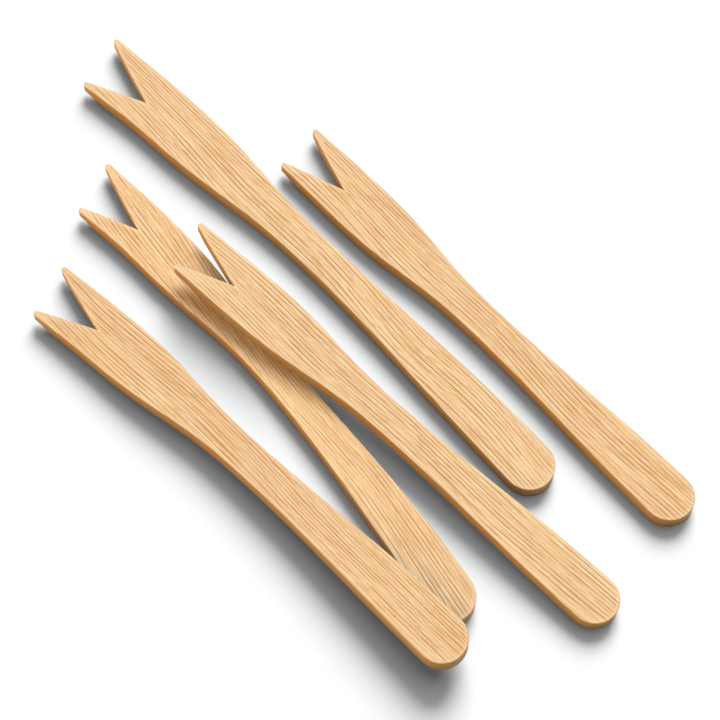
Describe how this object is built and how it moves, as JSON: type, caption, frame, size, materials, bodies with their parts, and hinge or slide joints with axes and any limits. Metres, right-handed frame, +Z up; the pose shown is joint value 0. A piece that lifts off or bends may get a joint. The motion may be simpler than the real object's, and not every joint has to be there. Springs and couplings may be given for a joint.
{
  "type": "wooden chip fork pack",
  "caption": "Loose pack of flat two-prong wooden chip forks, each with a waisted round-ended handle, lying across each other.",
  "frame": {"origin": "on the surface that the forks lie on, under the middle of the pack's box", "axes": "+Z up, away from the surface; the forks' tips point towards -X and +Y, their handles towards +X and -Y"},
  "size_m": [0.0938, 0.0956, 0.0065],
  "materials": {
    "pale_wood": "tumbled, unvarnished"
  },
  "bodies": {
    "root": {"under_fork": "pale_wood", "long_fork": "pale_wood", "short_fork": "pale_wood", "crossing_fork": "pale_wood", "front_fork": "pale_wood"}
  },
  "joints": []
}
